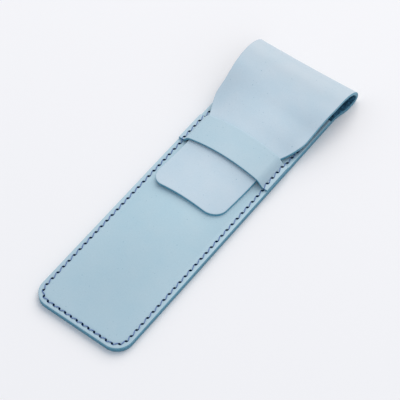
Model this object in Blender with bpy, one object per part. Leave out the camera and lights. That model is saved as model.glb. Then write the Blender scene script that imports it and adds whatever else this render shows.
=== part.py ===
# Leather pencil case, closed, with its tongue tucked under the retaining band.
#
# One long piece of leather makes the back panel, the fold over the mouth, the flap and the tongue.
# It is parted here only where it bends: at the far side of the fold, then at the two ends and in
# the middle of the flap. A front panel and a band are saddle-stitched on with one waxed thread.
# Lengths are metres. "Along" runs from the bottom edge to the fold, and z is up from the table.

import math

import bmesh
import bpy
import numpy as np

# Leather
BACK_THICKNESS = 0.0020
FRONT_THICKNESS = 0.0013
BAND_THICKNESS = 0.0012
CLEARANCE = 0.0003

# Pocket
BODY_WIDTH = 0.0588
POCKET_LENGTH = 0.1795
CORNER_RADIUS = 0.0095
POCKET_RISE = 0.0048
RISE_WIDTH = 0.0500
RISE_START = 0.0050
RISE_END = 0.0850

# Seam
SEAM_MARGIN = 0.0025
SIDE_PITCH = 0.00439
CORNER_STITCHES = 17
LEFT_FIRST_STITCH = 0.0100
RIGHT_FIRST_STITCH = 0.0119
MOUTH_MARGIN = 0.0018
THREAD_SIZE = 0.0005
AWL_LENGTH = 0.0018
AWL_WIDTH = 0.0013
AWL_SLANT = math.radians(-30.0)
GROOVE_WIDTH = 0.0013
GROOVE_DEPTH = 0.0011

# Retaining band
BAND_SETBACK = 0.0572
BAND_WIDTH = 0.0187
FOOT_WIDTH = 0.0040

# Fold
FOLD_REACH = 0.0233
FOLD_RADIUS = 0.0042
FOLD_HEIGHT = 0.0160
FOLD_WIDTH = 0.0622
CREST_SETBACK = 0.0158

# Flap and tongue
FLAP_WIDTH = 0.0592
TAPER_LENGTH = 0.0240
TONGUE_WIDTH = 0.0446
TONGUE_OVERHANG = 0.0299
TIP_RADIUS = 0.0085
TONGUE_GAP = 0.0011
BAND_TO_BEND = 0.0004
PIVOT_PROUD = 0.0001

# Facets
CORNER_STEPS = 6
ARCH_COLUMNS = 5
ARC_STEPS = 24
CUTTER_REACH = 0.0030

# Colours, linear, from the photograph's lit and cut faces
BODY_BLUE = (0.400, 0.552, 0.658)
FLAP_BLUE = (0.508, 0.617, 0.730)
THREAD_NAVY = (0.030, 0.050, 0.110)
LEATHER_ROUGHNESS = 0.55
THREAD_ROUGHNESS = 0.45

# Heights and places that follow from the sizes above
SEAM_TOP = BACK_THICKNESS + CLEARANCE + FRONT_THICKNESS
TONGUE_TOP = SEAM_TOP + POCKET_RISE + TONGUE_GAP + BACK_THICKNESS
BAND_START = POCKET_LENGTH - BAND_SETBACK
BAND_END = BAND_START + BAND_WIDTH
TONGUE_TIP = BAND_START - TONGUE_OVERHANG
FAR_EDGE = POCKET_LENGTH + FOLD_REACH
CREST = FAR_EDGE - CREST_SETBACK
TONGUE_BEND = BAND_END + BAND_TO_BEND
TAPER_END = TONGUE_BEND + 0.7 * TAPER_LENGTH
TAPER_START = TAPER_END - TAPER_LENGTH
SEAM_RADIUS = CORNER_RADIUS - SEAM_MARGIN
SEAM_HALF = BODY_WIDTH / 2 - SEAM_MARGIN
ARCH_HALF = RISE_WIDTH / 2
FOOT_INNER = BODY_WIDTH / 2 - FOOT_WIDTH


def smoothstep(value):
    value = min(max(value, 0.0), 1.0)
    return value * value * (3.0 - 2.0 * value)


def blend(low, high, share):
    return low + (high - low) * smoothstep(share)


def arch(x):
    """Height of the pocket's arch across the case, nothing beyond its width."""
    return POCKET_RISE * max(0.0, 1.0 - (x / ARCH_HALF) ** 2)


def outer_line():
    """Centre line of the leather's grain side, (along, z), from the bottom edge round to the tip."""
    points = [(0.0, 0.0)]
    for step in range(ARC_STEPS + 1):
        angle = math.pi / 2 * step / ARC_STEPS
        points.append((FAR_EDGE - FOLD_RADIUS + FOLD_RADIUS * math.sin(angle),
                       FOLD_RADIUS - FOLD_RADIUS * math.cos(angle)))
    for step in range(1, ARC_STEPS + 1):
        angle = math.pi / 2 * step / ARC_STEPS
        points.append((CREST + CREST_SETBACK * math.cos(angle),
                       FOLD_RADIUS + (FOLD_HEIGHT - FOLD_RADIUS) * math.sin(angle)))
    for step in range(1, ARC_STEPS + 1):
        share = step / ARC_STEPS
        points.append((CREST + (TONGUE_BEND - CREST) * share,
                       blend(FOLD_HEIGHT, TONGUE_TOP, share)))
    points.append((TONGUE_TIP, TONGUE_TOP))
    return np.array(points)


LINE = outer_line()
LENGTHS = np.concatenate([[0.0], np.cumsum(np.hypot(*np.diff(LINE, axis=0).T))])


def on_line(length):
    """Point and inward normal of the grain side at a length along it."""
    def point(value):
        return np.array([np.interp(value, LENGTHS, LINE[:, 0]), np.interp(value, LENGTHS, LINE[:, 1])])
    tangent = point(length + CLEARANCE) - point(length - CLEARANCE)
    tangent /= np.hypot(*tangent)
    return point(length), np.array([-tangent[1], tangent[0]])


def length_on_top(along):
    """Length along the line at which its upper run passes a place along the case."""
    far = int(np.argmax(LINE[:, 0]))
    return float(np.interp(-along, -LINE[far:, 0], LENGTHS[far:]))


def flap_pivot_length():
    """Length at which the fold's far side is as high as the tongue's own bend."""
    far = int(np.argmax(LINE[:, 0]))
    crest = int(np.argmax(LINE[:, 1]))
    return float(np.interp(TONGUE_TOP, LINE[far:crest + 1, 1], LENGTHS[far:crest + 1]))


MOUTH_LENGTH = POCKET_LENGTH
FAR_LENGTH = LENGTHS[int(np.argmax(LINE[:, 0]))]
CREST_LENGTH = length_on_top(CREST)
TAPER_END_LENGTH = length_on_top(TAPER_END)
TAPER_START_LENGTH = length_on_top(TAPER_START)
TONGUE_BEND_LENGTH = length_on_top(TONGUE_BEND)
TIP_LENGTH = LENGTHS[-1]
FLAP_PIVOT_LENGTH = flap_pivot_length()
CREASE = (on_line(FLAP_PIVOT_LENGTH)[0][0] + TONGUE_BEND) / 2
CREASE_LENGTH = length_on_top(CREASE)


def rounded(half_width, radius, distance):
    """Half width at a distance from an end whose corners are round."""
    if distance >= radius:
        return half_width
    return half_width - radius + math.sqrt(radius ** 2 - (radius - distance) ** 2)


def leather_half_width(length):
    """Half width of the long piece of leather."""
    if length < MOUTH_LENGTH:
        return rounded(BODY_WIDTH / 2, CORNER_RADIUS, length)
    if length < FAR_LENGTH:
        return blend(BODY_WIDTH / 2, FOLD_WIDTH / 2,
                     (length - MOUTH_LENGTH) / (FAR_LENGTH - MOUTH_LENGTH))
    if length < CREST_LENGTH:
        return FOLD_WIDTH / 2
    if length < TAPER_END_LENGTH:
        return blend(FOLD_WIDTH / 2, FLAP_WIDTH / 2,
                     (length - CREST_LENGTH) / (TAPER_END_LENGTH - CREST_LENGTH))
    tongue = blend(FLAP_WIDTH / 2, TONGUE_WIDTH / 2,
                   (length - TAPER_END_LENGTH) / (TAPER_START_LENGTH - TAPER_END_LENGTH))
    return rounded(tongue, TIP_RADIUS, TIP_LENGTH - length)


def leather_drop(x, length):
    """How far the leather hangs below its centre line: arched at the band, flat at the crease."""
    share = (length - CREASE_LENGTH) / (TONGUE_BEND_LENGTH - CREASE_LENGTH)
    return (POCKET_RISE - arch(x)) * math.sin(math.pi / 2 * min(max(share, 0.0), 1.0))


def arch_shares(half_width, foot=None):
    """Places across the case, as shares of a half width, close enough to follow the arch."""
    edge = ARCH_HALF / half_width if foot is None else foot
    inner = [edge * step / ARCH_COLUMNS for step in range(-ARCH_COLUMNS, ARCH_COLUMNS + 1)]
    return [-1.0] + inner + [1.0]


def corner_distances(radius):
    return [radius * (1.0 - math.cos(math.pi / 2 * step / CORNER_STEPS))
            for step in range(CORNER_STEPS + 1)]


def new_material(name, colour, roughness):
    material = bpy.data.materials.new(name)
    material.use_nodes = True
    shader = material.node_tree.nodes["Principled BSDF"]
    shader.inputs["Base Color"].default_value = (*colour, 1.0)
    shader.inputs["Roughness"].default_value = roughness
    shader.inputs["Metallic"].default_value = 0.0
    return material


def new_object(name, mesh, material, origin, case):
    """Objects stand at their own origin under the case, with their mesh moved to suit."""
    for vertex in mesh.vertices:
        vertex.co = [a - b for a, b in zip(vertex.co, origin)]
    item = bpy.data.objects.new(name, mesh)
    item.location = origin
    item.parent = case
    if material is None:
        item.hide_render = True
        item.display_type = "WIRE"
    else:
        mesh.materials.append(material)
        mesh.shade_smooth()
        mesh.set_sharp_from_angle(angle=math.radians(35.0))
    bpy.context.scene.collection.objects.link(item)
    return item


def closed_mesh(name, vertices, faces):
    shape = bmesh.new()
    made = [shape.verts.new(vertex) for vertex in vertices]
    for face in faces:
        shape.faces.new([made[index] for index in face])
    bmesh.ops.recalc_face_normals(shape, faces=shape.faces)
    mesh = bpy.data.meshes.new(name)
    shape.to_mesh(mesh)
    shape.free()
    return mesh


def sheet_mesh(name, outer_rows, inner_rows):
    """A sheet with two grids of points for its faces and walls round its four sides."""
    rows = len(outer_rows)
    columns = len(outer_rows[0])
    vertices = [point for row in outer_rows + inner_rows for point in row]

    def index(side, row, column):
        return (side * rows + row) * columns + column

    faces = []
    for row in range(rows - 1):
        for column in range(columns - 1):
            for side in (0, 1):
                faces.append([index(side, row, column), index(side, row, column + 1),
                              index(side, row + 1, column + 1), index(side, row + 1, column)])
        for column in (0, columns - 1):
            faces.append([index(0, row, column), index(0, row + 1, column),
                          index(1, row + 1, column), index(1, row, column)])
    for column in range(columns - 1):
        for row in (0, rows - 1):
            faces.append([index(0, row, column), index(0, row, column + 1),
                          index(1, row, column + 1), index(1, row, column)])
    return closed_mesh(name, vertices, faces)


def leather_piece(name, lengths, shares):
    """The long piece of leather between two of its lengths."""
    outer_rows = []
    inner_rows = []
    for length in lengths:
        point, inward = on_line(length)
        inside = point + inward * BACK_THICKNESS
        half_width = leather_half_width(length)
        outer_rows.append([(share * half_width, point[0],
                            point[1] - leather_drop(share * half_width, length)) for share in shares])
        inner_rows.append([(share * half_width, inside[0],
                            inside[1] - leather_drop(share * half_width, length)) for share in shares])
    return sheet_mesh(name, outer_rows, inner_rows)


def between(start, end, steps):
    """Lengths from one bend to the next, held clear of both."""
    low = start + CLEARANCE / 2
    high = end - CLEARANCE / 2
    return [low + (high - low) * step / steps for step in range(steps + 1)]


def seam_place(distance):
    """Point (x, along) and direction at a distance along the seam from the middle of the bottom."""
    straight = BODY_WIDTH / 2 - CORNER_RADIUS
    quarter = math.pi / 2 * SEAM_RADIUS
    side = math.copysign(1.0, distance)
    rest = abs(distance)
    if rest <= straight:
        return (side * rest, SEAM_MARGIN), (1.0, 0.0)
    if rest <= straight + quarter:
        angle = (rest - straight) / SEAM_RADIUS
        point = (side * (straight + SEAM_RADIUS * math.sin(angle)),
                 CORNER_RADIUS - SEAM_RADIUS * math.cos(angle))
        return point, (math.cos(angle), side * math.sin(angle))
    return (side * SEAM_HALF, CORNER_RADIUS + rest - straight - quarter), (0.0, side)


def seam_distance(along):
    """Distance along the seam of a stitch on its straight side."""
    return BODY_WIDTH / 2 - CORNER_RADIUS + math.pi / 2 * SEAM_RADIUS + along - CORNER_RADIUS


def side_distances(first_stitch):
    count = int((POCKET_LENGTH - MOUTH_MARGIN - first_stitch) / SIDE_PITCH)
    return [seam_distance(first_stitch + SIDE_PITCH * step) for step in range(1, count + 1)]


def stitch_distances():
    """Every awl hole, from the mouth down the left, across the bottom and up the right."""
    low = -seam_distance(LEFT_FIRST_STITCH)
    high = seam_distance(RIGHT_FIRST_STITCH)
    bottom = [low + (high - low) * step / CORNER_STITCHES for step in range(CORNER_STITCHES + 1)]
    left = [-distance for distance in reversed(side_distances(LEFT_FIRST_STITCH))]
    return left + bottom + side_distances(RIGHT_FIRST_STITCH)


def on_band(along):
    reach = THREAD_SIZE / 2 + CLEARANCE
    return BAND_START - reach < along < BAND_END + reach


def prism(corners, low, high):
    """Vertices and faces of an upright prism over a ring of (x, along) corners."""
    count = len(corners)
    vertices = [(x, along, z) for z in (low, high) for x, along in corners]
    faces = [list(range(count)), list(range(count, 2 * count))]
    for index in range(count):
        after = (index + 1) % count
        faces.append([index, after, after + count, index + count])
    return vertices, faces


def awl_hole_cutter(distances, case):
    """Slanted diamond holes, all in one cutter."""
    vertices = []
    faces = []
    for distance in distances:
        (x, along), (east, north) = seam_place(distance)
        slant_east = east * math.cos(AWL_SLANT) - north * math.sin(AWL_SLANT)
        slant_north = east * math.sin(AWL_SLANT) + north * math.cos(AWL_SLANT)
        long_half = (slant_east * AWL_LENGTH / 2, slant_north * AWL_LENGTH / 2)
        short_half = (-slant_north * AWL_WIDTH / 2, slant_east * AWL_WIDTH / 2)
        corners = [(x + long_half[0], along + long_half[1]), (x + short_half[0], along + short_half[1]),
                   (x - long_half[0], along - long_half[1]), (x - short_half[0], along - short_half[1])]
        points, sides = prism(corners, -CUTTER_REACH, SEAM_TOP + BAND_THICKNESS + CUTTER_REACH)
        faces += [[index + len(vertices) for index in side] for side in sides]
        vertices += points
    return new_object("awl_hole_cutter", closed_mesh("awl_hole_cutter", vertices, faces),
                      None, (0.0, 0.0, 0.0), case)


def groove_cutter(distances, case):
    """The groove under the back panel that takes the thread, a little longer than the stitches."""
    straight = BODY_WIDTH / 2 - CORNER_RADIUS
    quarter = math.pi / 2 * SEAM_RADIUS
    bends = [straight + quarter * step / CORNER_STEPS for step in range(CORNER_STEPS + 1)]
    places = [distances[0] - AWL_LENGTH / 2] + [-bend for bend in reversed(bends)]
    places += bends + [distances[-1] + AWL_LENGTH / 2]
    left = []
    right = []
    for distance in places:
        (x, along), (east, north) = seam_place(distance)
        left.append((x - north * GROOVE_WIDTH / 2, along + east * GROOVE_WIDTH / 2))
        right.append((x + north * GROOVE_WIDTH / 2, along - east * GROOVE_WIDTH / 2))
    vertices, faces = prism(left + right[::-1], -CUTTER_REACH, GROOVE_DEPTH)
    return new_object("groove_cutter", closed_mesh("groove_cutter", vertices, faces),
                      None, (0.0, 0.0, 0.0), case)


def cut(item, cutters):
    for cutter in cutters:
        boolean = item.modifiers.new(cutter.name, "BOOLEAN")
        boolean.operation = "DIFFERENCE"
        boolean.solver = "EXACT"
        boolean.object = cutter


def thread_levels(along, neighbours):
    """Heights of the thread at one hole, and the height of its upper run towards each neighbour."""
    low_run = SEAM_TOP + CLEARANCE
    high_run = low_run + BAND_THICKNESS + CLEARANCE
    if on_band(along):
        runs = [high_run, high_run]
    else:
        runs = [high_run if near is not None and on_band(near) else low_run for near in neighbours]
    lower_top = GROOVE_DEPTH - CLEARANCE
    levels = {lower_top - THREAD_SIZE, lower_top}
    for run in runs if on_band(along) else runs + [low_run]:
        levels |= {run, run + THREAD_SIZE}
    return sorted(levels), runs, lower_top - THREAD_SIZE


def thread_mesh(distances):
    """A saddle-stitched thread: a run over the front, a run in the groove, and a rung in every hole."""
    vertices = []
    faces = []
    columns = []
    half = THREAD_SIZE / 2
    for number, distance in enumerate(distances):
        (x, along), (east, north) = seam_place(distance)
        near = [seam_place(distances[other])[0][1] if 0 <= other < len(distances) else None
                for other in (number - 1, number + 1)]
        levels, runs, lower_run = thread_levels(along, near)
        corners = [(x + half * (east * a - north * b), along + half * (north * a + east * b))
                   for a, b in ((1, 1), (-1, 1), (-1, -1), (1, -1))]
        rings = {}
        for level in levels:
            rings[level] = [len(vertices) + corner for corner in range(4)]
            vertices += [(*corner, level) for corner in corners]
        columns.append((levels, runs, lower_run, rings))
    for number, (levels, runs, lower_run, rings) in enumerate(columns):
        first = number == 0
        last = number == len(columns) - 1
        open_back = [] if first else [lower_run, runs[0]]
        open_front = [] if last else [lower_run, runs[1]]
        faces += [rings[levels[0]], rings[levels[-1]]]
        for low, high in zip(levels, levels[1:]):
            sides = [(0, 1), (2, 3)]
            if low not in open_front:
                sides.append((3, 0))
            if low not in open_back:
                sides.append((1, 2))
            for a, b in sides:
                faces.append([rings[low][a], rings[low][b], rings[high][b], rings[high][a]])
        if last:
            continue
        next_levels, next_runs, next_lower, next_rings = columns[number + 1]
        for low, next_low in ((lower_run, next_lower), (runs[1], next_runs[0])):
            high = levels[levels.index(low) + 1]
            next_high = next_levels[next_levels.index(next_low) + 1]
            here = [rings[low][0], rings[low][3], rings[high][3], rings[high][0]]
            there = [next_rings[next_low][1], next_rings[next_low][2],
                     next_rings[next_high][2], next_rings[next_high][1]]
            for a, b in ((0, 1), (1, 2), (2, 3), (3, 0)):
                faces.append([here[a], here[b], there[b], there[a]])
    return closed_mesh("seam_thread", vertices, faces)


def front_panel_mesh():
    """The front panel, which stands up in its middle so that the pocket stays open."""
    slope = [RISE_START + (RISE_END - RISE_START) * step / 10 for step in range(11)]
    places = sorted(set(corner_distances(CORNER_RADIUS)
                        + [place for place in slope if place > CORNER_RADIUS] + [POCKET_LENGTH]))
    shares = arch_shares(BODY_WIDTH / 2)
    outer_rows = []
    inner_rows = []
    for along in places:
        half_width = rounded(BODY_WIDTH / 2, CORNER_RADIUS, along)
        swell = smoothstep((along - RISE_START) / (RISE_END - RISE_START))
        across = [share * half_width for share in shares]
        outer_rows.append([(x, along, SEAM_TOP + swell * arch(x)) for x in across])
        inner_rows.append([(x, along, SEAM_TOP - FRONT_THICKNESS + swell * arch(x)) for x in across])
    return sheet_mesh("front_panel", outer_rows, inner_rows)


def offset_profile(points, distance):
    """A line of (x, z) points moved to its left by a distance, mitred at its corners."""
    moved = []
    for number, point in enumerate(points):
        before = np.subtract(point, points[number - 1]) if number else None
        after = np.subtract(points[number + 1], point) if number < len(points) - 1 else None
        legs = [leg for leg in (before, after) if leg is not None]
        normals = [np.array([-leg[1], leg[0]]) / np.hypot(*leg) for leg in legs]
        mean = sum(normals) / len(normals)
        moved.append(tuple(np.array(point) + distance * mean / np.dot(mean, normals[0])))
    return moved


def band_mesh():
    """The band: flat feet on the seam, and an arch that follows the tongue."""
    outer_rows = []
    inner_rows = []
    for step in range(5):
        along = BAND_START + BAND_WIDTH * step / 4
        wall = leather_half_width(length_on_top(along)) + CLEARANCE
        across = [wall * share / ARCH_COLUMNS for share in range(-ARCH_COLUMNS, ARCH_COLUMNS + 1)]
        under = [(x, TONGUE_TOP - POCKET_RISE + arch(x) + CLEARANCE) for x in across]
        foot = SEAM_TOP + CLEARANCE
        under = ([(-BODY_WIDTH / 2, foot), (-FOOT_INNER, foot)] + under
                 + [(FOOT_INNER, foot), (BODY_WIDTH / 2, foot)])
        inner_rows.append([(x, along, z) for x, z in under])
        outer_rows.append([(x, along, z) for x, z in offset_profile(under, BAND_THICKNESS)])
    return sheet_mesh("retaining_band", outer_rows, inner_rows)


def build():
    for item in list(bpy.data.objects):
        bpy.data.objects.remove(item, do_unlink=True)
    case = bpy.data.objects.new("case", None)
    case.location = (0.0, -FAR_EDGE / 2, 0.0)
    bpy.context.scene.collection.objects.link(case)

    body_leather = new_material("body_leather", BODY_BLUE, LEATHER_ROUGHNESS)
    flap_leather = new_material("flap_leather", FLAP_BLUE, LEATHER_ROUGHNESS)
    thread = new_material("waxed_thread", THREAD_NAVY, THREAD_ROUGHNESS)
    here = (0.0, 0.0, 0.0)

    distances = stitch_distances()
    holes = awl_hole_cutter(distances, case)
    groove = groove_cutter(distances, case)

    fold_start = FAR_EDGE - FOLD_RADIUS
    back_lengths = corner_distances(CORNER_RADIUS)
    back_lengths += [MOUTH_LENGTH + (fold_start - MOUTH_LENGTH) * step / 3 for step in range(4)]
    back_end = FAR_LENGTH - CLEARANCE / 2
    back_lengths += [fold_start + (back_end - fold_start) * step / 6 for step in range(1, 7)]
    back = new_object("back_panel", leather_piece("back_panel", back_lengths, [-1.0, 1.0]),
                      body_leather, here, case)
    cut(back, [groove, holes])

    front = new_object("front_panel", front_panel_mesh(), body_leather, here, case)
    cut(front, [holes])
    band = new_object("retaining_band", band_mesh(), body_leather, here, case)
    cut(band, [holes])
    new_object("seam_thread", thread_mesh(distances), thread, here, case)

    far, pivot, crease = (on_line(length)[0] for length in
                          (FAR_LENGTH, FLAP_PIVOT_LENGTH, CREASE_LENGTH))
    crease = (0.0, CREASE, float(crease[1]) - BACK_THICKNESS - CLEARANCE)
    pieces = [("flap_fold", between(FAR_LENGTH, FLAP_PIVOT_LENGTH, 6), [-1.0, 1.0],
               (0.0, float(far[0]), float(far[1]))),
              ("flap_rear", between(FLAP_PIVOT_LENGTH, CREASE_LENGTH, 12), [-1.0, 1.0],
               (0.0, float(pivot[0]), TONGUE_TOP + PIVOT_PROUD)),
              ("flap_front", between(CREASE_LENGTH, TONGUE_BEND_LENGTH, 12),
               arch_shares(FLAP_WIDTH / 2, 0.85), crease)]
    tip = [TIP_LENGTH - distance for distance in reversed(corner_distances(TIP_RADIUS))]
    tongue = between(TONGUE_BEND_LENGTH, TAPER_START_LENGTH, 4)[:-1] + [TAPER_START_LENGTH] + tip
    pieces.append(("tongue", tongue, arch_shares(FLAP_WIDTH / 2, 0.85),
                   (0.0, TONGUE_BEND, TONGUE_TOP + PIVOT_PROUD)))
    for name, lengths, shares, origin in pieces:
        new_object(name, leather_piece(name, lengths, shares), flap_leather, origin, case)


build()
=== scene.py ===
import math

import bmesh
import bpy
import numpy as np
from mathutils import Matrix


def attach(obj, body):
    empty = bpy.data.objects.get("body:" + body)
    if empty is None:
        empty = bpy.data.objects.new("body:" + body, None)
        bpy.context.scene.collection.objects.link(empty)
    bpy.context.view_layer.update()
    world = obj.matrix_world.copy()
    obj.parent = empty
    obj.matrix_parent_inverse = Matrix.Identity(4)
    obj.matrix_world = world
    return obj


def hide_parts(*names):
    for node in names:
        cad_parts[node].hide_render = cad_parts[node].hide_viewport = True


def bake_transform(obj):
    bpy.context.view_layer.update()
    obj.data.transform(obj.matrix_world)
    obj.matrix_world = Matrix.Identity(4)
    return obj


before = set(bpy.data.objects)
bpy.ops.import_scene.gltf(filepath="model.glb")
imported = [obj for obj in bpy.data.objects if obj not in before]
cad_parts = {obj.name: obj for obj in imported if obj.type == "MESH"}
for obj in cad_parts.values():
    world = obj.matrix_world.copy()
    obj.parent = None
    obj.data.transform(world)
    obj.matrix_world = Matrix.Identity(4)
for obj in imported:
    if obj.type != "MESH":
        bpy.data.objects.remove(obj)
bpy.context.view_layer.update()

# Leather pencil case. Lengths are metres in the row frame: +Y runs from the bottom edge to the fold.
# "Along" is measured from the bottom edge, "length" along the long piece of leather itself.

# Leathers, and the gap that keeps the faces of two touching leathers apart
BACK_THICKNESS = 0.0020
FRONT_THICKNESS = 0.0016
BAND_THICKNESS = 0.0013
CONTACT = 0.00002
SEAM_TOP = BACK_THICKNESS + FRONT_THICKNESS

# Pocket, whose middle rises toward the mouth
BODY_HALF = 0.0294
POCKET_LENGTH = 0.1795
CORNER_RADIUS = 0.0095
POCKET_RISE = 0.0048
RISE_HALF = 0.0250
RISE_START, RISE_END = 0.0050, 0.0850

# Fold, flap and tongue
FAR_EDGE = 0.2028
HALF_LENGTH = FAR_EDGE / 2
FOLD_RADIUS = 0.0042
FOLD_HEIGHT = 0.0160
FOLD_HALF = 0.0313
FLARE_START, FLARE_END = 0.1830, 0.1950
CREST_SETBACK = 0.0158
CREST = FAR_EDGE - CREST_SETBACK
DROP_START = 0.1790
FLAP_HALF = 0.0296
TAPER_START, TAPER_END = 0.1342, 0.1582
TONGUE_BEND = 0.1414
TONGUE_TOP = 0.0115
TONGUE_HALF = 0.0223
TONGUE_TIP = 0.0904
TIP_RADIUS = 0.0085

# The fold was pressed a little askew: its left end lies further in and its right end lower.
# The tongue's tip lies aside and low.
ASKEW_LEFT, ASKEW_RIGHT, ASKEW_CURVE = 0.0024, 0.0003, 2
ASKEW_UNDER, ASKEW_OVER = (0.1840, 0.1970), (0.1600, 0.1870)
TWIST, TWIST_CURVE = 0.0024, 1.5
TWIST_OVER = (0.1500, 0.1660)
TIP_DROOP, TIP_DROOP_OVER = 0.00095, (0.1100, 0.1310)
TIP_ASIDE, TIP_ASIDE_START, TIP_ASIDE_CURVE = 0.0021, 0.1290, 1.3

# Retaining band: flat on the front panel beyond its feet, over the tongue between its walls
BAND_START, BAND_END = 0.1223, 0.1410
BAND_WALL, BAND_FOOT = 0.0222, 0.0264
BAND_BEVEL = 0.0003
TUNNEL_GAP = 0.0002
BAND_LAP = 0.0001

# Seam, with its pressed groove and the awl holes
SEAM_MARGIN = 0.0025
SEAM_STRAIGHT = BODY_HALF - CORNER_RADIUS
SEAM_RADIUS = CORNER_RADIUS - SEAM_MARGIN
SEAM_QUARTER = math.pi / 2 * SEAM_RADIUS
SIDE_PITCH = 0.00439
BOTTOM_STITCHES = 17
LEFT_FIRST_STITCH, RIGHT_FIRST_STITCH = 0.0100, 0.0119
MOUTH_MARGIN = 0.0018
GROOVE_DEPTH, GROOVE_WIDTH = 0.00022, 0.00060
UNDER_GROOVE_DEPTH, UNDER_GROOVE_WIDTH = 0.00062, 0.00062
DIMPLE_DEPTH, DIMPLE_WIDTH = 0.00012, 0.00100
AWL_LENGTH, AWL_WIDTH = 0.0022, 0.0013
AWL_SLANT = math.radians(-43.0)
AWL_DEPTH, AWL_ABOVE = 0.0011, 0.0010
AWL_SIDES = 8
AWL_POINTEDNESS = 0.25
HOLE_SHARP_ANGLE = math.radians(50.0)

# Thread: how it lies over and under the leather, and its two plies
THREAD_RADIUS = 0.00025
THREAD_REACH = 0.40
STITCH_KNOTS, STITCH_POINTS = 15, 19
STITCH_OVERRUN = 0.02
STITCH_LIFT, STITCH_SWELL, STITCH_CURVE = 0.35, 0.55, 0.7
STITCH_SINK = 0.0007
STEP_REACH = 0.0005
UNDER_LEVEL = THREAD_RADIUS + 0.00008
UNDER_END_LEVEL = 0.0012
PLY_RADIUS = THREAD_RADIUS * 0.62
PLY_OFFSET = THREAD_RADIUS * 0.42
PLY_TURNS = 1.6
PLY_SIDES = 6

# Points on the stretches of the long piece's line
FLAT_POINTS, UNDER_POINTS, OVER_POINTS, SLOPE_POINTS, TONGUE_POINTS = 400, 120, 240, 500, 500

# Meshes: distances between rows and columns, rounding of cut edges, and welding
ROW, COLUMN = 0.0011, 0.0018
COARSE_END, FINE_START, FINE_ROW = 0.0060, 0.0056, 0.0004
END_ROW, END_GAP, TONGUE_END_GAP = 0.0001, 0.0008, 0.0006
CORNER_STEPS = 12
STRETCH_REACH, STRETCH_COLUMNS = 0.0085, 41
BAND_REACH, BAND_ROW, BAND_COLUMNS = 0.0040, 0.0007, 6
BEVEL = 0.00038
BEVEL_STEPS, GRAIN_STEPS = 4, 2
WELD, SPECK = 0.000002, 0.000001

# Insets of the lines that the faces beside a cut edge follow, closer together at the groove
SEAM_LINES = [0.0008, 0.0013, 0.0017, 0.0020, 0.0023, 0.0025, 0.0027, 0.0030, 0.0033, 0.0038, 0.0045,
              0.0056, 0.0070]
PLAIN_LINES = [0.0008, 0.0016, 0.0030, 0.0050, 0.0070]

# sRGB colours of the case
GRAIN_BODY = (165, 190, 203)
# Painted light: the body's grain turns to this lighter tone toward the mouth, where the light falls
# brighter
GRAIN_BODY_PAINTED_LIGHT = (175, 201, 213)
GRAIN_BAND = (176, 199, 211)
GRAIN_FLAP = (189, 206, 218)
GRAIN_FOLD = (181, 194, 204)
EDGE_PAINT = (92, 156, 180)
BACK_EDGE_PAINT = (76, 136, 160)
FLESH = (62, 112, 140)
THREAD = (92, 120, 180)
# Painted shade: the awl holes' walls are far darker than the leather's cut fibre, standing in for the
# shade inside holes that go through
HOLE_SHADE = (12, 62, 108)

# Linear colours of the floor and the light
FLOOR_COLOUR = (0.905, 0.882, 0.892, 1.0)
LAMP_COLOUR = (1.0, 0.95, 0.88)
SKY_COLOUR = (0.90, 0.985, 1.08, 1.0)
BACKDROP_COLOUR = (0.87, 0.87, 0.89, 1.0)


# Shapes of the leather

def between(first, last, share):
    return first + (last - first) * share


def smooth(value):
    value = np.clip(value, 0.0, 1.0)
    return value * value * (3.0 - 2.0 * value)


def eased(value, start, end):
    """0 up to the start and 1 past the end, with a smooth step from one to the other."""
    return smooth((value - start) / (end - start))


def arch(x):
    return POCKET_RISE * np.maximum(0.0, 1.0 - (x / RISE_HALF) ** 2)


def grain_line():
    """The long piece's grain side in the middle of the case, (along, z), from the bottom edge."""
    flat = np.linspace(0.0, FAR_EDGE - FOLD_RADIUS, FLAT_POINTS)
    under = np.linspace(0.0, math.pi / 2, UNDER_POINTS)[1:]
    over = np.linspace(0.0, math.pi / 2, OVER_POINTS)[1:]
    slope = np.linspace(0.0, 1.0, SLOPE_POINTS)[1:]
    tongue = np.linspace(TONGUE_BEND, TONGUE_TIP, TONGUE_POINTS)[1:]
    along = np.concatenate([
        flat,
        FAR_EDGE - FOLD_RADIUS + FOLD_RADIUS * np.sin(under),
        CREST + CREST_SETBACK * np.cos(over),
        between(CREST, TONGUE_BEND, slope),
        tongue])
    height = np.concatenate([
        np.zeros_like(flat),
        FOLD_RADIUS * (1.0 - np.cos(under)),
        between(FOLD_RADIUS, FOLD_HEIGHT, np.sin(over)),
        between(FOLD_HEIGHT, TONGUE_TOP, smooth(slope)),
        np.full_like(tongue, TONGUE_TOP)])
    return along, height


LINE_ALONG, LINE_HEIGHT = grain_line()
LINE_LENGTH = np.concatenate([[0.0], np.cumsum(np.hypot(np.diff(LINE_ALONG), np.diff(LINE_HEIGHT)))])
FAR = int(np.argmax(LINE_ALONG))
TOP = int(np.argmax(LINE_HEIGHT))
FAR_LENGTH = LINE_LENGTH[FAR]
TIP_LENGTH = LINE_LENGTH[-1]


def line_at(length):
    """Points of the line and its unit tangent."""
    step = 0.0001
    ahead = np.minimum(length + step, TIP_LENGTH)
    behind = np.maximum(length - step, 0.0)
    onward = np.interp(ahead, LINE_LENGTH, LINE_ALONG) - np.interp(behind, LINE_LENGTH, LINE_ALONG)
    upward = np.interp(ahead, LINE_LENGTH, LINE_HEIGHT) - np.interp(behind, LINE_LENGTH, LINE_HEIGHT)
    size = np.hypot(onward, upward)
    return (np.interp(length, LINE_LENGTH, LINE_ALONG), np.interp(length, LINE_LENGTH, LINE_HEIGHT),
            onward / size, upward / size)


def length_on_top(along):
    """Length at which the line, past the far edge, comes back to a place along the case."""
    return float(np.interp(-along, -LINE_ALONG[FAR:], LINE_LENGTH[FAR:]))


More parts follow.
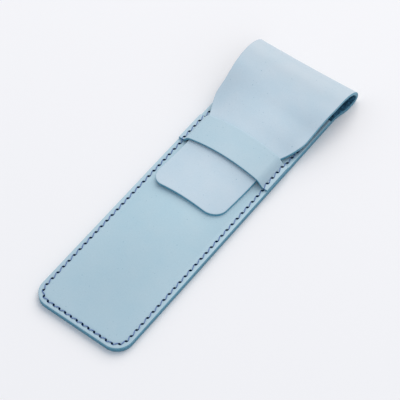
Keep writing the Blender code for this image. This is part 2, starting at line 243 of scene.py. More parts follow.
# Lengths of places on the upper side. flap_arch's hinge, the pivot, is as high as the tongue.
CREST_LENGTH = length_on_top(CREST)
BEND_LENGTH = length_on_top(TONGUE_BEND)
DROP_LENGTH = length_on_top(DROP_START)
TAPER_START_LENGTH = length_on_top(TAPER_START)
TAPER_END_LENGTH = length_on_top(TAPER_END)
PIVOT_LENGTH = float(np.interp(TONGUE_TOP, LINE_HEIGHT[FAR:TOP + 1], LINE_LENGTH[FAR:TOP + 1]))
PIVOT_ALONG = float(np.interp(PIVOT_LENGTH, LINE_LENGTH, LINE_ALONG))
CREASE_LENGTH = length_on_top((PIVOT_ALONG + TONGUE_BEND) / 2)

# Lengths at which one mesh of the long piece ends and the next begins, midway between two bends
FOLD_MIDDLE = (FAR_LENGTH + PIVOT_LENGTH) / 2
REAR_MIDDLE = (PIVOT_LENGTH + CREASE_LENGTH) / 2
FRONT_MIDDLE = (CREASE_LENGTH + BEND_LENGTH) / 2


def leather_half(length):
    """Half width of the long piece, without its round corners."""
    length = np.asarray(length, float)
    under = between(BODY_HALF, FOLD_HALF, eased(length, FLARE_START, FLARE_END))
    flap = between(FOLD_HALF, FLAP_HALF, eased(length, CREST_LENGTH, TAPER_END_LENGTH))
    taper = (TONGUE_HALF - FLAP_HALF) * eased(length, TAPER_END_LENGTH, TAPER_START_LENGTH)
    return np.where(length < FAR_LENGTH, under, flap + taper)


def leather_drop(x, length):
    """How far the flap's and the tongue's sides hang below their middle."""
    return (POCKET_RISE - arch(x)) * eased(length, DROP_LENGTH, BEND_LENGTH)


def askew(x, length):
    """How far the leather lies aside, in and low at a place, against a square and level case."""
    along, height, _, _ = line_at(length)
    across = np.clip((x + FOLD_HALF) / (2.0 * FOLD_HALF), 0.0, 1.0)
    under = length < FAR_LENGTH
    toward_fold = np.where(under, eased(along, *ASKEW_UNDER), eased(along, *ASKEW_OVER))
    inward = between(ASKEW_LEFT, ASKEW_RIGHT, across ** ASKEW_CURVE) * toward_fold
    raised = np.where(under, 1.0, eased(along, *TWIST_OVER)) * height / FOLD_HEIGHT
    droop = np.where(under, 0.0, TIP_DROOP * (1.0 - eased(along, *TIP_DROOP_OVER)))
    toward_tip = np.clip((TIP_ASIDE_START - along) / (TIP_ASIDE_START - TONGUE_TIP), 0.0, 1.0)
    aside = np.where(under, 0.0, TIP_ASIDE * toward_tip ** TIP_ASIDE_CURVE)
    return aside, inward, TWIST * across ** TWIST_CURVE * raised + droop


def long_leather(x, length, depth):
    """Place of a point of the long piece, from its place across, its length and its depth."""
    along, height, onward, upward = line_at(length)
    aside, inward, low = askew(x, length)
    return np.stack([x - aside, along - upward * depth - inward - HALF_LENGTH,
                     height + onward * depth - leather_drop(x, length) - low], -1)


def front_leather(x, along, depth):
    top = SEAM_TOP + arch(x) * eased(along, RISE_START, RISE_END)
    return np.stack([x, along - HALF_LENGTH, top - depth], -1)


# The seam

def seam_place(distance):
    """Point and direction at a distance along the seam from the middle of the bottom."""
    side = math.copysign(1.0, distance)
    rest = abs(distance)
    if rest <= SEAM_STRAIGHT:
        return (side * rest, SEAM_MARGIN), (1.0, 0.0)
    if rest <= SEAM_STRAIGHT + SEAM_QUARTER:
        angle = (rest - SEAM_STRAIGHT) / SEAM_RADIUS
        point = (side * (SEAM_STRAIGHT + SEAM_RADIUS * math.sin(angle)),
                 CORNER_RADIUS - SEAM_RADIUS * math.cos(angle))
        return point, (math.cos(angle), side * math.sin(angle))
    return ((side * (BODY_HALF - SEAM_MARGIN), CORNER_RADIUS + rest - SEAM_STRAIGHT - SEAM_QUARTER),
            (0.0, side))


def seam_distance(along):
    """Distance along the seam of a place on the case's straight sides."""
    return SEAM_STRAIGHT + SEAM_QUARTER + along - CORNER_RADIUS


def stitch_distances():
    """Distances of all holes, from the mouth at the left round the bottom to the mouth at the right."""
    low, high = -seam_distance(LEFT_FIRST_STITCH), seam_distance(RIGHT_FIRST_STITCH)
    bottom = [low + (high - low) * step / BOTTOM_STITCHES for step in range(BOTTOM_STITCHES + 1)]
    sides = []
    for first in (LEFT_FIRST_STITCH, RIGHT_FIRST_STITCH):
        count = int((POCKET_LENGTH - MOUTH_MARGIN - first) / SIDE_PITCH)
        sides.append([seam_distance(first + SIDE_PITCH * step) for step in range(1, count + 1)])
    return [-distance for distance in reversed(sides[0])] + bottom + sides[1]


STITCHES = [seam_place(distance) for distance in stitch_distances()]
HOLES = np.array([place for place, _ in STITCHES])
AWL_TURN = np.array([[math.cos(AWL_SLANT), math.sin(AWL_SLANT)],
                     [-math.sin(AWL_SLANT), math.cos(AWL_SLANT)]])
SLANTS = np.array([direction for _, direction in STITCHES]) @ AWL_TURN

# How far from a hole's middle the thread leaves it
THREAD_SHIFTS = SLANTS * AWL_LENGTH * THREAD_REACH


def dimples(x, along):
    """How far the stitches pull the leather in round their holes."""
    distance = np.min(np.hypot(x[..., None] - HOLES[:, 0], along[..., None] - HOLES[:, 1]), -1)
    return DIMPLE_DEPTH * np.exp(-(distance / DIMPLE_WIDTH) ** 2)


def seam_relief(x, along, inset):
    groove = GROOVE_DEPTH * np.exp(-((inset - SEAM_MARGIN) / GROOVE_WIDTH) ** 2)
    return groove + dimples(x, along)


def under_relief(x, length, inset):
    """The back's groove has steeper walls and ends at the mouth."""
    groove = UNDER_GROOVE_DEPTH * np.exp(-((inset - SEAM_MARGIN) / UNDER_GROOVE_WIDTH) ** 4)
    return groove * (length < POCKET_LENGTH - MOUTH_MARGIN)


def no_relief(x, length, inset):
    return np.zeros_like(x)


# Meshes. A leather sheet's faces are grain, cut edge or flesh, in that order of material slots.

GRAIN_SLOT, EDGE_SLOT, FLESH_SLOT = range(3)


def new_piece(name, mesh):
    piece = bpy.data.objects.new(name, mesh)
    bpy.context.scene.collection.objects.link(piece)
    return piece


def profile(thickness, reach, lines, bevel=BEVEL):
    """Insets and depths from the grain side round the edge to the flesh side, and the faces' slots.

    The grain runs on over the first faces of the rounding.
    """
    lines = sorted([line for line in lines if bevel < line < reach] + [reach], reverse=True)
    turn = [math.pi / 2 * step / BEVEL_STEPS for step in range(BEVEL_STEPS + 1)]
    inset = [bevel * (1.0 - math.sin(angle)) for angle in turn]
    depth = [bevel * (1.0 - math.cos(angle)) for angle in turn]
    insets = lines + inset + inset[::-1] + lines[::-1]
    depths = [0.0] * len(lines) + depth + [thickness - level for level in depth[::-1]]
    depths += [thickness] * len(lines)
    grain = len(lines) + GRAIN_STEPS
    slots = [GRAIN_SLOT] * grain + [EDGE_SLOT] * (len(insets) - grain - len(lines) - 1)
    slots += [FLESH_SLOT] * len(lines)
    return np.array(insets), np.array(depths), slots


def spaced(low, high, step):
    """Even values from low to high, about a step apart."""
    return np.linspace(low, high, max(2, int(round(abs(high - low) / step)) + 1))


class Sheet:
    """Collects grids of leather points with their flat coordinates, then welds them into one mesh."""

    def __init__(self, place, relief=no_relief):
        """place(x, length, depth) gives a point's place, relief(x, length, inset) how far it sinks."""
        self.place, self.relief = place, relief
        self.points, self.flat, self.faces, self.slots = [], [], [], []
        self.count = 0

    def lay(self, x, length, depth, slots, inset=0.0):
        """Adds a grid, with one material slot for all its faces or one for each column of them."""
        x, length, depth, inset = np.broadcast_arrays(x, length, depth, inset)
        depth = depth + self.relief(x, length, inset) * (depth < BEVEL / 2)
        rows, columns = x.shape
        index = self.count + np.arange(rows * columns).reshape(rows, columns)
        quads = np.stack([index[:-1, :-1], index[1:, :-1], index[1:, 1:], index[:-1, 1:]], -1)
        self.points.append(self.place(x, length, depth).reshape(-1, 3))
        self.flat.append(np.stack([x, length, depth], -1).reshape(-1, 3))
        self.faces.append(quads.reshape(-1, 4))
        self.slots.append(np.broadcast_to(np.asarray(slots), quads.shape[:2]).reshape(-1))
        self.count += rows * columns

    def build(self, name, materials):
        mesh = bpy.data.meshes.new(name)
        mesh.from_pydata(np.concatenate(self.points).tolist(), [], np.concatenate(self.faces).tolist())
        layer = mesh.attributes.new("leather", "FLOAT_VECTOR", "POINT")
        layer.data.foreach_set("vector", np.concatenate(self.flat).astype(np.float32).ravel())
        mesh.polygons.foreach_set("material_index", np.concatenate(self.slots).astype(np.int32))
        shape = bmesh.new()
        shape.from_mesh(mesh)
        bmesh.ops.remove_doubles(shape, verts=shape.verts, dist=WELD)
        bmesh.ops.dissolve_degenerate(shape, edges=shape.edges, dist=SPECK)
        bmesh.ops.recalc_face_normals(shape, faces=shape.faces)
        shape.to_mesh(mesh)
        shape.free()
        for material in materials:
            mesh.materials.append(material)
        mesh.shade_smooth()
        return new_piece(name, mesh)


def lay_round_ended(sheet, half_at, radius, rows, thickness, lines, length_of=lambda row: row,
                    capped=False):
    """Lays a sheet with round corners at its closed end, from which half_at and rows are measured."""
    insets, depths, slots = profile(thickness, radius, lines)
    end_half = float(half_at(radius))
    columns = np.linspace(-1.0, 1.0, int(round(2.0 * (end_half - radius) / COLUMN)) + 1)
    turn = np.linspace(0.0, math.pi / 2, CORNER_STEPS + 1)[1:-1]
    xs, places = [], []
    for inset in insets:
        side = half_at(rows) - inset
        corner_x = end_half - radius + (radius - inset) * np.cos(turn)
        corner_row = radius - (radius - inset) * np.sin(turn)
        xs.append(np.concatenate([-side[::-1], -corner_x, columns * (end_half - radius),
                                  corner_x[::-1], side]))
        places.append(np.concatenate([rows[::-1], corner_row, np.full(len(columns), inset),
                                      corner_row[::-1], rows]))
    sheet.lay(np.stack(xs, 1), length_of(np.stack(places, 1)), depths, slots, insets)
    inner_x = columns * (half_at(rows)[:, None] - radius)
    for depth, slot in ((0.0, GRAIN_SLOT), (thickness, FLESH_SLOT)):
        sheet.lay(inner_x, length_of(rows[:, None]), depth, slot, radius)
    if capped:
        lay_cap(sheet, rows[-1], float(half_at(rows[-1])), radius, columns, insets, depths)


def lay_cap(sheet, length, half, reach, columns, insets, depths):
    """Closes a sheet's open end, with points that the end's own rows share."""
    count = len(insets) // 2
    inset = np.stack([insets[:count], insets[::-1][:count]], -1)
    depth = np.stack([depths[:count], depths[::-1][:count]], -1)
    for side in (-1.0, 1.0):
        sheet.lay(side * (half - inset), length, depth, EDGE_SLOT, inset)
    sheet.lay(columns[:, None] * (half - reach), length, depths[[0, -1]], EDGE_SLOT, reach)


# Materials

def linear(colour):
    def channel(value):
        value /= 255.0
        return value / 12.92 if value <= 0.04045 else ((value + 0.055) / 1.055) ** 2.4
    return tuple(channel(value) for value in colour) + (1.0,)


def scaled(colour, share):
    return tuple(value * share for value in colour[:3]) + (1.0,)


class Nodes:
    """Short names for building one material's nodes."""

    def __init__(self, name, roughness, specular):
        self.material = bpy.data.materials.new(name)
        self.material.use_nodes = True
        self.tree = self.material.node_tree
        self.shader = self.tree.nodes["Principled BSDF"]
        self.shader.inputs["Roughness"].default_value = roughness
        self.shader.inputs["Specular IOR Level"].default_value = specular

    def add(self, kind, **values):
        node = self.tree.nodes.new(kind)
        for key, value in values.items():
            if key in node.inputs:
                node.inputs[key].default_value = value
            else:
                setattr(node, key, value)
        return node

    def link(self, output, target):
        self.tree.links.new(output, target)

    def coordinates(self):
        """Flat leather coordinates in millimetres, which stay with the leather as it bends."""
        attribute = self.add("ShaderNodeAttribute", attribute_name="leather")
        scale = self.add("ShaderNodeVectorMath", operation="SCALE", Scale=1000.0)
        self.link(attribute.outputs["Vector"], scale.inputs[0])
        return scale.outputs[0]

    def noise(self, vector, scale, detail, roughness=0.5):
        node = self.add("ShaderNodeTexNoise", Scale=scale, Detail=detail, Roughness=roughness)
        self.link(vector, node.inputs["Vector"])
        return node.outputs["Fac"]

    def cells(self, vector, scale):
        node = self.add("ShaderNodeTexVoronoi", Scale=scale, feature="SMOOTH_F1")
        self.link(vector, node.inputs["Vector"])
        return node.outputs["Distance"]

    def ramp(self, value, *stops):
        """Turns a value into a colour, by two stops of a position and its colour."""
        node = self.tree.nodes.new("ShaderNodeValToRGB")
        for element, (position, colour) in zip(node.color_ramp.elements, stops):
            element.position = position
            element.color = colour
        self.link(value, node.inputs["Fac"])
        return node.outputs["Color"]

    def mix(self, factor, first, second, kind="MIX"):
        node = self.add("ShaderNodeMix", data_type="RGBA", blend_type=kind)
        for value, place in ((factor, 0), (first, 6), (second, 7)):
            socket = node.inputs[place]
            if isinstance(value, (float, tuple)):
                socket.default_value = value
            else:
                self.link(value, socket)
        return node.outputs[2]

    def multiply(self, first, second):
        return self.mix(1.0, first, second, "MULTIPLY")

    def bump(self, height, strength, distance, normal=None):
        node = self.add("ShaderNodeBump", Strength=strength, Distance=distance)
        self.link(height, node.inputs["Height"])
        if normal is not None:
            self.link(normal, node.inputs["Normal"])
        return node.outputs["Normal"]

    def shade(self, colour, normal=None, rough=None):
        """Links the shader; rough is a value with the roughness that it gives at 0 and at 1."""
        self.link(colour, self.shader.inputs["Base Color"])
        if normal is not None:
            self.link(normal, self.shader.inputs["Normal"])
        if rough is not None:
            value, low, high = rough
            node = self.add("ShaderNodeMapRange")
            node.inputs["To Min"].default_value = low
            node.inputs["To Max"].default_value = high
            self.link(value, node.inputs["Value"])
            self.link(node.outputs["Result"], self.shader.inputs["Roughness"])
        return self.material


def grain_material(name, tones):
    """tones are the leather's colours along it, as (millimetres, colour)."""
    nodes = Nodes(name, roughness=0.5, specular=0.45)
    where = nodes.coordinates()
    parts = nodes.add("ShaderNodeSeparateXYZ")
    nodes.link(where, parts.inputs[0])
    base = linear(tones[0][1])
    for (start, _), (end, colour) in zip(tones, tones[1:]):
        reach = nodes.add("ShaderNodeMapRange", interpolation_type="SMOOTHSTEP")
        reach.inputs["From Min"].default_value = start
        reach.inputs["From Max"].default_value = end
        nodes.link(parts.outputs["Y"], reach.inputs["Value"])
        base = nodes.mix(reach.outputs["Result"], base, linear(colour))
    broad = nodes.noise(where, scale=0.07, detail=3.0, roughness=0.55)
    cool = nodes.ramp(broad, (0.35, (0.968, 0.99, 1.0, 1.0)), (0.68, (1.028, 1.01, 1.007, 1.0)))
    fine = nodes.noise(where, scale=1.1, detail=4.0, roughness=0.6)
    speckle = nodes.ramp(fine, (0.3, (0.97, 0.97, 0.97, 1.0)), (0.75, (1.025, 1.025, 1.025, 1.0)))
    rare = nodes.noise(where, scale=0.8, detail=1.0, roughness=0.4)
    flecks = nodes.ramp(rare, (0.735, (1.0, 1.0, 1.0, 1.0)), (0.77, (0.72, 0.80, 0.84, 1.0)))
    colour = nodes.multiply(nodes.multiply(nodes.multiply(base, cool), speckle), flecks)
    pebble = nodes.cells(where, scale=2.3)
    pores = nodes.noise(where, scale=6.0, detail=3.0, roughness=0.6)
    normal = nodes.bump(broad, strength=0.25, distance=0.0004)
    normal = nodes.bump(pebble, strength=0.22, distance=0.00006, normal=normal)
    normal = nodes.bump(pores, strength=0.25, distance=0.00002, normal=normal)
    return nodes.shade(colour, normal, rough=(fine, 0.44, 0.58))


def edge_material(name, paint):
    nodes = Nodes(name, roughness=0.42, specular=0.5)
    where = nodes.coordinates()
    base = linear(paint)
    streaks = nodes.noise(where, scale=0.9, detail=4.0, roughness=0.6)
    colour = nodes.ramp(streaks, (0.3, scaled(base, 0.8)), (0.75, scaled(base, 1.15)))
    dents = nodes.noise(where, scale=2.5, detail=3.0, roughness=0.6)
    return nodes.shade(colour, nodes.bump(dents, strength=0.3, distance=0.00008),
                       rough=(streaks, 0.36, 0.52))


def flesh_material():
    nodes = Nodes("flesh_side", roughness=0.9, specular=0.2)
    where = nodes.coordinates()
    base = linear(FLESH)
    fibres = nodes.noise(where, scale=0.5, detail=6.0, roughness=0.75)
    clumps = nodes.noise(where, scale=1.3, detail=3.0, roughness=0.7)
    specks = nodes.ramp(clumps, (0.5, scaled(base, 0.35)), (0.66, scaled(base, 3.4)))
    strands = nodes.ramp(fibres, (0.4, scaled(base, 0.15)), (0.62, scaled(base, 1.9)))
    return nodes.shade(nodes.mix(0.5, strands, specks),
                       nodes.bump(fibres, strength=0.6, distance=0.00015), rough=(fibres, 0.82, 0.96))


# Painted shade for the awl holes: their walls take a dark colour, as inside a deep hole
def hole_shade_material():
    nodes = Nodes("awl_hole_painted_shade", roughness=0.8, specular=0.05)
    base = linear(HOLE_SHADE)
    fibres = nodes.noise(nodes.coordinates(), scale=5.0, detail=2.0)
    return nodes.shade(nodes.ramp(fibres, (0.3, scaled(base, 0.7)), (0.7, scaled(base, 1.3))))


def thread_material():
    nodes = Nodes("waxed_thread", roughness=0.38, specular=0.5)
    coordinates = nodes.add("ShaderNodeTexCoord")
    base = linear(THREAD)
    fibres = nodes.noise(coordinates.outputs["Object"], scale=4000.0, detail=3.0, roughness=0.6)
    colour = nodes.ramp(fibres, (0.3, scaled(base, 0.75)), (0.7, scaled(base, 1.2)))
    return nodes.shade(colour, nodes.bump(fibres, strength=0.4, distance=0.00004),
                       rough=(fibres, 0.32, 0.5))


# body_leather grows lighter from the bottom edge to 90 mm along: painted light, brighter toward the mouth
BODY_LEATHER = grain_material("body_leather", [(0.0, GRAIN_BODY), (90.0, GRAIN_BODY_PAINTED_LIGHT)])
BACK_LEATHER = grain_material("back_leather", [(150.0, GRAIN_BODY), (205.0, GRAIN_FOLD)])
BAND_LEATHER = grain_material("band_leather", [(0.0, GRAIN_BAND)])
FLAP_LEATHER = grain_material("flap_leather", [(214.0, GRAIN_FOLD), (244.0, GRAIN_FLAP)])
EDGE = edge_material("painted_edge", EDGE_PAINT)
BACK_EDGE = edge_material("painted_back_edge", BACK_EDGE_PAINT)
FLESH_SIDE = flesh_material()
DARK = hole_shade_material()
WAXED = thread_material()


# The long piece, in four meshes. A narrow last row keeps the shading the same where two of them meet.

def back_piece():
    """Back panel and the fold's lower half, with round corners at the bottom edge."""
    sheet = Sheet(long_leather, under_relief)
    rows = np.concatenate([spaced(CORNER_RADIUS, FAR_EDGE - COARSE_END, ROW),
                           spaced(FAR_EDGE - FINE_START, FOLD_MIDDLE - FINE_ROW, FINE_ROW),
                           [FOLD_MIDDLE - END_ROW, FOLD_MIDDLE]])
    lay_round_ended(sheet, leather_half, CORNER_RADIUS, rows, BACK_THICKNESS, SEAM_LINES)
    return sheet.build("back_leather", [BACK_LEATHER, BACK_EDGE, FLESH_SIDE])


def stretch_piece(name, low, high):
    """The long piece from one length to another, with cut edges at its sides and open ends."""
    sheet = Sheet(long_leather)
    lengths = np.concatenate([[low, low + END_ROW], spaced(low + END_GAP, high - END_GAP, ROW),
                              [high - END_ROW, high]])[:, None]
    half = leather_half(lengths)
    insets, depths, slots = profile(BACK_THICKNESS, STRETCH_REACH, PLAIN_LINES)
    for side in (-1.0, 1.0):
        sheet.lay(side * (half - insets), lengths, depths, slots)
    inner_x = np.linspace(-1.0, 1.0, STRETCH_COLUMNS) * (half - STRETCH_REACH)
    for depth, slot in ((0.0, GRAIN_SLOT), (BACK_THICKNESS, FLESH_SLOT)):
        sheet.lay(inner_x, lengths, depth, slot)
    return sheet.build(name, [FLAP_LEATHER, EDGE, FLESH_SIDE])


def tongue_piece():
    """The flap's last stretch and the tongue, whose rows are measured from the tip."""
    sheet = Sheet(long_leather)
    last = TIP_LENGTH - FRONT_MIDDLE
    rows = np.concatenate([spaced(TIP_RADIUS, last - TONGUE_END_GAP, ROW), [last - END_ROW, last]])
    lay_round_ended(sheet, lambda row: leather_half(TIP_LENGTH - row), TIP_RADIUS, rows, BACK_THICKNESS,
                    PLAIN_LINES, length_of=lambda row: TIP_LENGTH - row)
    return sheet.build("tongue_leather", [FLAP_LEATHER, EDGE, FLESH_SIDE])


# The front panel and the band, and the awl holes that are cut into them

def front_piece():
    """Front panel, with its seam pressed in and its edge at the mouth closed."""
    sheet = Sheet(front_leather, seam_relief)
    lay_round_ended(sheet, lambda row: np.full_like(row, BODY_HALF), CORNER_RADIUS,
                    spaced(CORNER_RADIUS, POCKET_LENGTH, ROW), FRONT_THICKNESS - CONTACT, SEAM_LINES,
                    capped=True)
    return sheet.build("front_leather", [BODY_LEATHER, EDGE, FLESH_SIDE, DARK])


def band_under(x):
    """Height of the band's flesh side: over the tongue, and on the front panel at the band's ends."""
    tunnel = TONGUE_TOP - POCKET_RISE + arch(x) + TUNNEL_GAP
    return between(tunnel, SEAM_TOP + CONTACT, eased(np.abs(x), BAND_WALL, BAND_FOOT))


def band_leather(x, length, depth):
    """length runs along the case from the band's middle, depth down from the band's outside."""
    step = 0.0002
    slope = (band_under(x + step) - band_under(x - step)) / (2.0 * step)
    size = np.hypot(1.0, slope)
    lift = BAND_THICKNESS - depth
    along = (BAND_START + BAND_END) / 2 + length
    sunk = dimples(x, along) * (depth < BEVEL / 2)
    return np.stack([x - lift * slope / size, along - HALF_LENGTH,
                     band_under(x) + lift / size - sunk], -1)


def thinned(depth, share):
    """A depth, drawn to the band's middle layer where a rounded end has only a share of its thickness."""
    return BAND_THICKNESS / 2 + (depth - BAND_THICKNESS / 2) * share


def band_piece():
    """A sheet whose rows run along the case, with rounded cut edges on all four sides."""
    sheet = Sheet(band_leather)
    insets, depths, slots = profile(BAND_THICKNESS, BAND_REACH, PLAIN_LINES, BAND_BEVEL)
    half = (BAND_END - BAND_START) / 2
    middle = np.linspace(-1.0, 1.0, BAND_COLUMNS) * (half - BAND_REACH)
    turn = np.linspace(0.0, math.pi / 2, BEVEL_STEPS + 1)[::-1]
    end_rows = BODY_HALF - BAND_BEVEL * (1.0 - np.sin(turn))
    end_share = 1.0 - BAND_BEVEL / BAND_THICKNESS * 2.0 * (1.0 - np.cos(turn))
    middle_rows = spaced(-BODY_HALF + BAND_BEVEL, BODY_HALF - BAND_BEVEL, BAND_ROW)[1:-1]
    rows = np.concatenate([-end_rows, middle_rows, end_rows[::-1]])[:, None]
    share = np.concatenate([end_share, np.ones_like(middle_rows), end_share[::-1]])[:, None]
    for side in (-1.0, 1.0):
        sheet.lay(rows, side * (half - insets), thinned(depths, share), slots)
    for depth, slot in ((0.0, GRAIN_SLOT), (BAND_THICKNESS, FLESH_SLOT)):
        sheet.lay(rows, middle, thinned(depth, share), slot)
    count = len(insets) // 2
    end_depths = thinned(np.stack([depths[:count], depths[::-1][:count]]), share[0])
    for end in (rows[0], rows[-1]):
        for side in (-1.0, 1.0):
            sheet.lay(end, side * (half - insets[:count]), end_depths, EDGE_SLOT)
        sheet.lay(end, middle, end_depths[:, :1], EDGE_SLOT)
    return sheet.build("band_leather", [BAND_LEATHER, EDGE, FLESH_SIDE, DARK])


def top_at(along):
    """Height of the leather that a stitch lies on: the band's grain side, or the front panel's."""
    if BAND_START - BAND_LAP < along < BAND_END + BAND_LAP:
        return SEAM_TOP + CONTACT + BAND_THICKNESS
    return SEAM_TOP


def awl_cutter():
    """Slanted lens-shaped prisms, one at every hole."""
    angles = np.linspace(0.0, 2.0 * math.pi, AWL_SIDES + 1)[:-1]
    vertices, faces = [], []
    for (x, along), slant in zip(HOLES, SLANTS):
        start = len(vertices)
        for height in (top_at(along) - AWL_DEPTH, top_at(along) + AWL_ABOVE):
            for angle in angles:
                a = AWL_LENGTH / 2 * math.cos(angle)
                b = AWL_WIDTH / 2 * math.sin(angle) * (1.0 - AWL_POINTEDNESS * abs(math.cos(angle)))
                vertices.append((x + a * slant[0] - b * slant[1],
                                 along + a * slant[1] + b * slant[0] - HALF_LENGTH, height))
        low = list(range(start, start + AWL_SIDES))
        high = [index + AWL_SIDES for index in low]
        faces += [low[::-1], high]
        for k in range(AWL_SIDES):
            after = (k + 1) % AWL_SIDES
            faces.append([low[k], low[after], high[after], high[k]])
    mesh = bpy.data.meshes.new("awl_cutter")
    mesh.from_pydata(vertices, [], faces)
    mesh.materials.append(DARK)
    return new_piece("awl_cutter", mesh)


def punch(piece, cutter):
    """Cuts the awl holes into a closed piece and leaves their walls dark, as painted shade for deep
    holes.
    """
    boolean = piece.modifiers.new("holes", "BOOLEAN")
    boolean.operation = "DIFFERENCE"
    boolean.solver = "EXACT"
    boolean.material_mode = "TRANSFER"
    boolean.object = cutter
    graph = bpy.context.evaluated_depsgraph_get()
    mesh = bpy.data.meshes.new_from_object(piece.evaluated_get(graph), depsgraph=graph)
    piece.modifiers.clear()
    piece.data = mesh
    mesh.shade_smooth()
    mesh.set_sharp_from_angle(angle=HOLE_SHARP_ANGLE)


# The thread

def stitch_path(first, under):
    """Centre line of the stitch from one hole to the next, over or under the leather."""
    direction = -1.0 if under else 1.0
    start = HOLES[first] + THREAD_SHIFTS[first] * direction
    end = HOLES[first + 1] - THREAD_SHIFTS[first + 1] * direction
    shares = np.linspace(0.0, 1.0, STITCH_KNOTS)
    flat = between(start, end, shares[:, None])
    # The thread lies on the highest leather near it
    level = np.array([max(top_at(along + shift) for shift in (-STEP_REACH, 0.0, STEP_REACH))
                      for _, along in flat])
    level += THREAD_RADIUS * (STITCH_LIFT + STITCH_SWELL * np.sin(math.pi * shares) ** STITCH_CURVE)
    level[[0, -1]] -= STITCH_SINK
    flat[0] -= (end - start) * STITCH_OVERRUN
    flat[-1] += (end - start) * STITCH_OVERRUN
    lines = (flat[:, 0], flat[:, 1] - HALF_LENGTH, level)
    fine = np.linspace(0.0, 1.0, STITCH_POINTS)
    path = np.stack([np.interp(fine, shares, line) for line in lines], -1)
    if under:
        path[:, 2] = UNDER_LEVEL
        path[[0, -1], 2] = UNDER_END_LEVEL
    return path


def ply_tube(centre, sideways, upward, start):
    """Vertices and faces of one ply round its centre line. Its first vertex has the number start."""
    vertices, faces = [], []
    for point, side, up in zip(centre, sideways, upward):
        for corner in range(PLY_SIDES):
            angle = 2.0 * math.pi * corner / PLY_SIDES
            vertices.append(tuple(point + PLY_RADIUS * (side * math.cos(angle) + up * math.sin(angle))))
    for low in range(start, start + (len(centre) - 1) * PLY_SIDES, PLY_SIDES):
        high = low + PLY_SIDES
        for corner in range(PLY_SIDES):
            after = (corner + 1) % PLY_SIDES
            faces.append([low + corner, high + corner, high + after, low + after])
    last = start + (len(centre) - 1) * PLY_SIDES
    faces.append(list(range(start, start + PLY_SIDES)))
    faces.append(list(range(last, last + PLY_SIDES))[::-1])
    return vertices, faces


def thread_piece():
    """Two waxed plies twisted round each other along every stitch, over the leather and under it."""
    vertices, faces = [], []
    for under in (False, True):
        for first in range(len(HOLES) - 1):
            path = stitch_path(first, under)
            tangent = np.gradient(path, axis=0)
            tangent /= np.linalg.norm(tangent, axis=1)[:, None]
            sideways = np.cross(tangent, (0.0, 0.0, 1.0))
            sideways /= np.maximum(np.linalg.norm(sideways, axis=1)[:, None], 1e-9)
            upward = np.cross(sideways, tangent)
            for ply in (0.0, math.pi):
                twist = ply + np.linspace(0.0, 1.0, len(path)) * 2.0 * math.pi * PLY_TURNS + first
                centre = path + PLY_OFFSET * (
                    sideways * np.cos(twist)[:, None] + upward * np.sin(twist)[:, None])
                more_vertices, more_faces = ply_tube(centre, sideways, upward, len(vertices))
                vertices += more_vertices
                faces += more_faces
    mesh = bpy.data.meshes.new("stitching")
    mesh.from_pydata(vertices, [], faces)
    mesh.materials.append(WAXED)
    mesh.shade_smooth()
    return new_piece("stitching", mesh)


# What each piece stands for, and which pieces ride on the case

def rides(piece, node):
    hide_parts(node)
    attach(piece, "case")


def bends(piece, nodes):
    """A stretch of the long piece hides the parts that it stands for and keeps its place in the world."""
    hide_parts(*nodes)
    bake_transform(piece)


bends(back_piece(), ["back_panel"])

front = front_piece()
band = band_piece()
cutter = awl_cutter()
punch(front, cutter)
punch(band, cutter)
bpy.data.objects.remove(cutter, do_unlink=True)
rides(front, "front_panel")
rides(band, "retaining_band")

bends(stretch_piece("fold_leather", FOLD_MIDDLE, REAR_MIDDLE), ["flap_fold"])
bends(stretch_piece("flap_leather", REAR_MIDDLE, FRONT_MIDDLE), ["flap_rear", "flap_front"])
bends(tongue_piece(), ["tongue"])

rides(thread_piece(), "seam_thread")


# Floor, light and camera

def matrix(right, up, back, place):
    """An object's matrix from its own three directions and its place."""
    return Matrix([[right[k], up[k], back[k], place[k]] for k in range(3)] + [[0, 0, 0, 1]])


def lay_floor(size):
    nodes = Nodes("floor", roughness=0.9, specular=0.0)
    nodes.shader.inputs["Base Color"].default_value = FLOOR_COLOUR
    bpy.ops.mesh.primitive_plane_add(size=size, location=(0.0, 0.0, 0.0))
    floor = bpy.context.object
    floor.name = "floor"
    floor.data.materials.append(nodes.material)


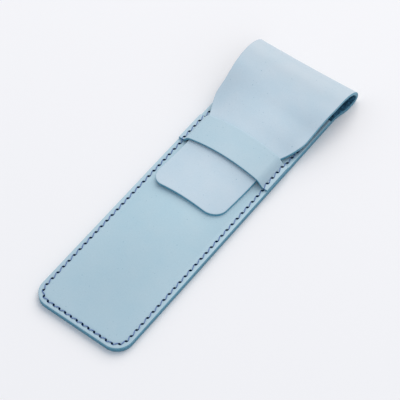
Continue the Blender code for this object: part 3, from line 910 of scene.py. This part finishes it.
def backdrop(strength):
    """The world lights the case with one colour, and shows another to the eye and in gloss."""
    world = bpy.data.worlds.new("studio")
    world.use_nodes = True
    bpy.context.scene.world = world
    tree = world.node_tree
    lit = tree.nodes["Background"]
    lit.inputs["Color"].default_value = SKY_COLOUR
    lit.inputs["Strength"].default_value = strength
    seen = tree.nodes.new("ShaderNodeBackground")
    seen.inputs["Color"].default_value = BACKDROP_COLOUR
    path = tree.nodes.new("ShaderNodeLightPath")
    either = path.outputs["Is Camera Ray"]
    for ray in ("Is Glossy Ray", "Is Transmission Ray"):
        larger = tree.nodes.new("ShaderNodeMath")
        larger.operation = "MAXIMUM"
        tree.links.new(either, larger.inputs[0])
        tree.links.new(path.outputs[ray], larger.inputs[1])
        either = larger.outputs[0]
    mix = tree.nodes.new("ShaderNodeMixShader")
    tree.links.new(either, mix.inputs["Fac"])
    tree.links.new(lit.outputs[0], mix.inputs[1])
    tree.links.new(seen.outputs[0], mix.inputs[2])
    tree.links.new(mix.outputs[0], tree.nodes["World Output"].inputs["Surface"])


def area_light(name, place, target, size, power):
    light = bpy.data.lights.new(name, "AREA")
    light.color = LAMP_COLOUR
    light.shape = "SQUARE"
    light.size = size
    light.energy = power
    ahead = np.subtract(target, place)
    ahead = ahead / np.linalg.norm(ahead)
    right = np.cross(ahead, (0.0, 0.0, 1.0))
    right /= np.linalg.norm(right)
    lamp = bpy.data.objects.new(name, light)
    lamp.matrix_world = matrix(right, np.cross(right, ahead), -ahead, place)
    bpy.context.scene.collection.objects.link(lamp)


def photo_camera(eye, azimuth, elevation, roll, focal_pixels, photo_width):
    """The camera as fitted to the photograph, with its angles in degrees. It looks down by elevation."""
    azimuth, elevation, roll = (math.radians(angle) for angle in (azimuth, elevation, roll))
    ahead = np.array([math.sin(azimuth) * math.cos(elevation), math.cos(azimuth) * math.cos(elevation),
                      -math.sin(elevation)])
    right = np.array([math.cos(azimuth), -math.sin(azimuth), 0.0])
    down = np.cross(ahead, right)
    right, down = (math.cos(roll) * right - math.sin(roll) * down,
                   math.sin(roll) * right + math.cos(roll) * down)
    lens = bpy.data.cameras.new("camera")
    lens.sensor_width = 36.0
    lens.lens = focal_pixels * lens.sensor_width / photo_width
    lens.clip_start = 0.05
    lens.clip_end = 20.0
    camera = bpy.data.objects.new("camera", lens)
    camera.matrix_world = matrix(right, -down, -ahead, eye)
    bpy.context.scene.collection.objects.link(camera)
    bpy.context.scene.camera = camera


lay_floor(size=6.0)
backdrop(strength=0.62)
area_light("window", place=(-0.45, 2.25, 2.20), target=(0.0, 0.0, 0.0), size=3.0, power=80.0)
photo_camera(eye=(0.3791, -0.4428, 0.8556), azimuth=-40.51, elevation=55.89, roll=-3.32,
             focal_pixels=1965.78, photo_width=400.0)
bpy.context.scene.view_settings.view_transform = "Standard"
